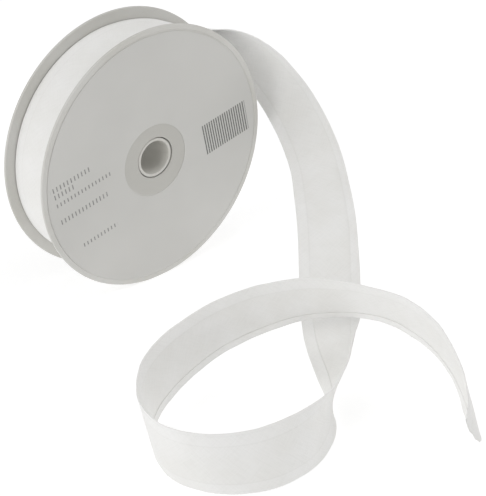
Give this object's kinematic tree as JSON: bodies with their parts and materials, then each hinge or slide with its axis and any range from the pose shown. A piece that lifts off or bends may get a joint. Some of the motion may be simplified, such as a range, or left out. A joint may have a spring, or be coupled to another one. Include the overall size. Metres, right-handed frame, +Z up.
{
  "type": "roll of bias tape on a flanged reel",
  "caption": "Folded cotton bias tape wound on a flanged reel that stands on its rims, with the free end drawn off the top, twisted onto its edge and laid in a loop in front.",
  "frame": {"origin": "on the floor, under the middle of the whole part's box", "axes": "+Y along the reel's axis, from the labelled flange towards the other one; +Z up; the part's longest side is along Y and its shortest is up Z"},
  "size_m": [0.1778, 0.2142, 0.1217],
  "materials": {
    "reel_plastic": "satin moulded, pale grey",
    "tube_plastic": "satin moulded, pale grey",
    "label_paper": "smooth pale grey paper",
    "tape_cotton": "fine white cotton, cut on the bias",
    "loose_cotton": "fine white cotton, cut on the bias, edges folded under"
  },
  "bodies": {
    "root": {"front_flange": "reel_plastic", "back_flange": "reel_plastic", "core_tube": "tube_plastic", "front_label": "label_paper", "tape_roll": "tape_cotton", "loose_tape": "loose_cotton"}
  },
  "joints": []
}
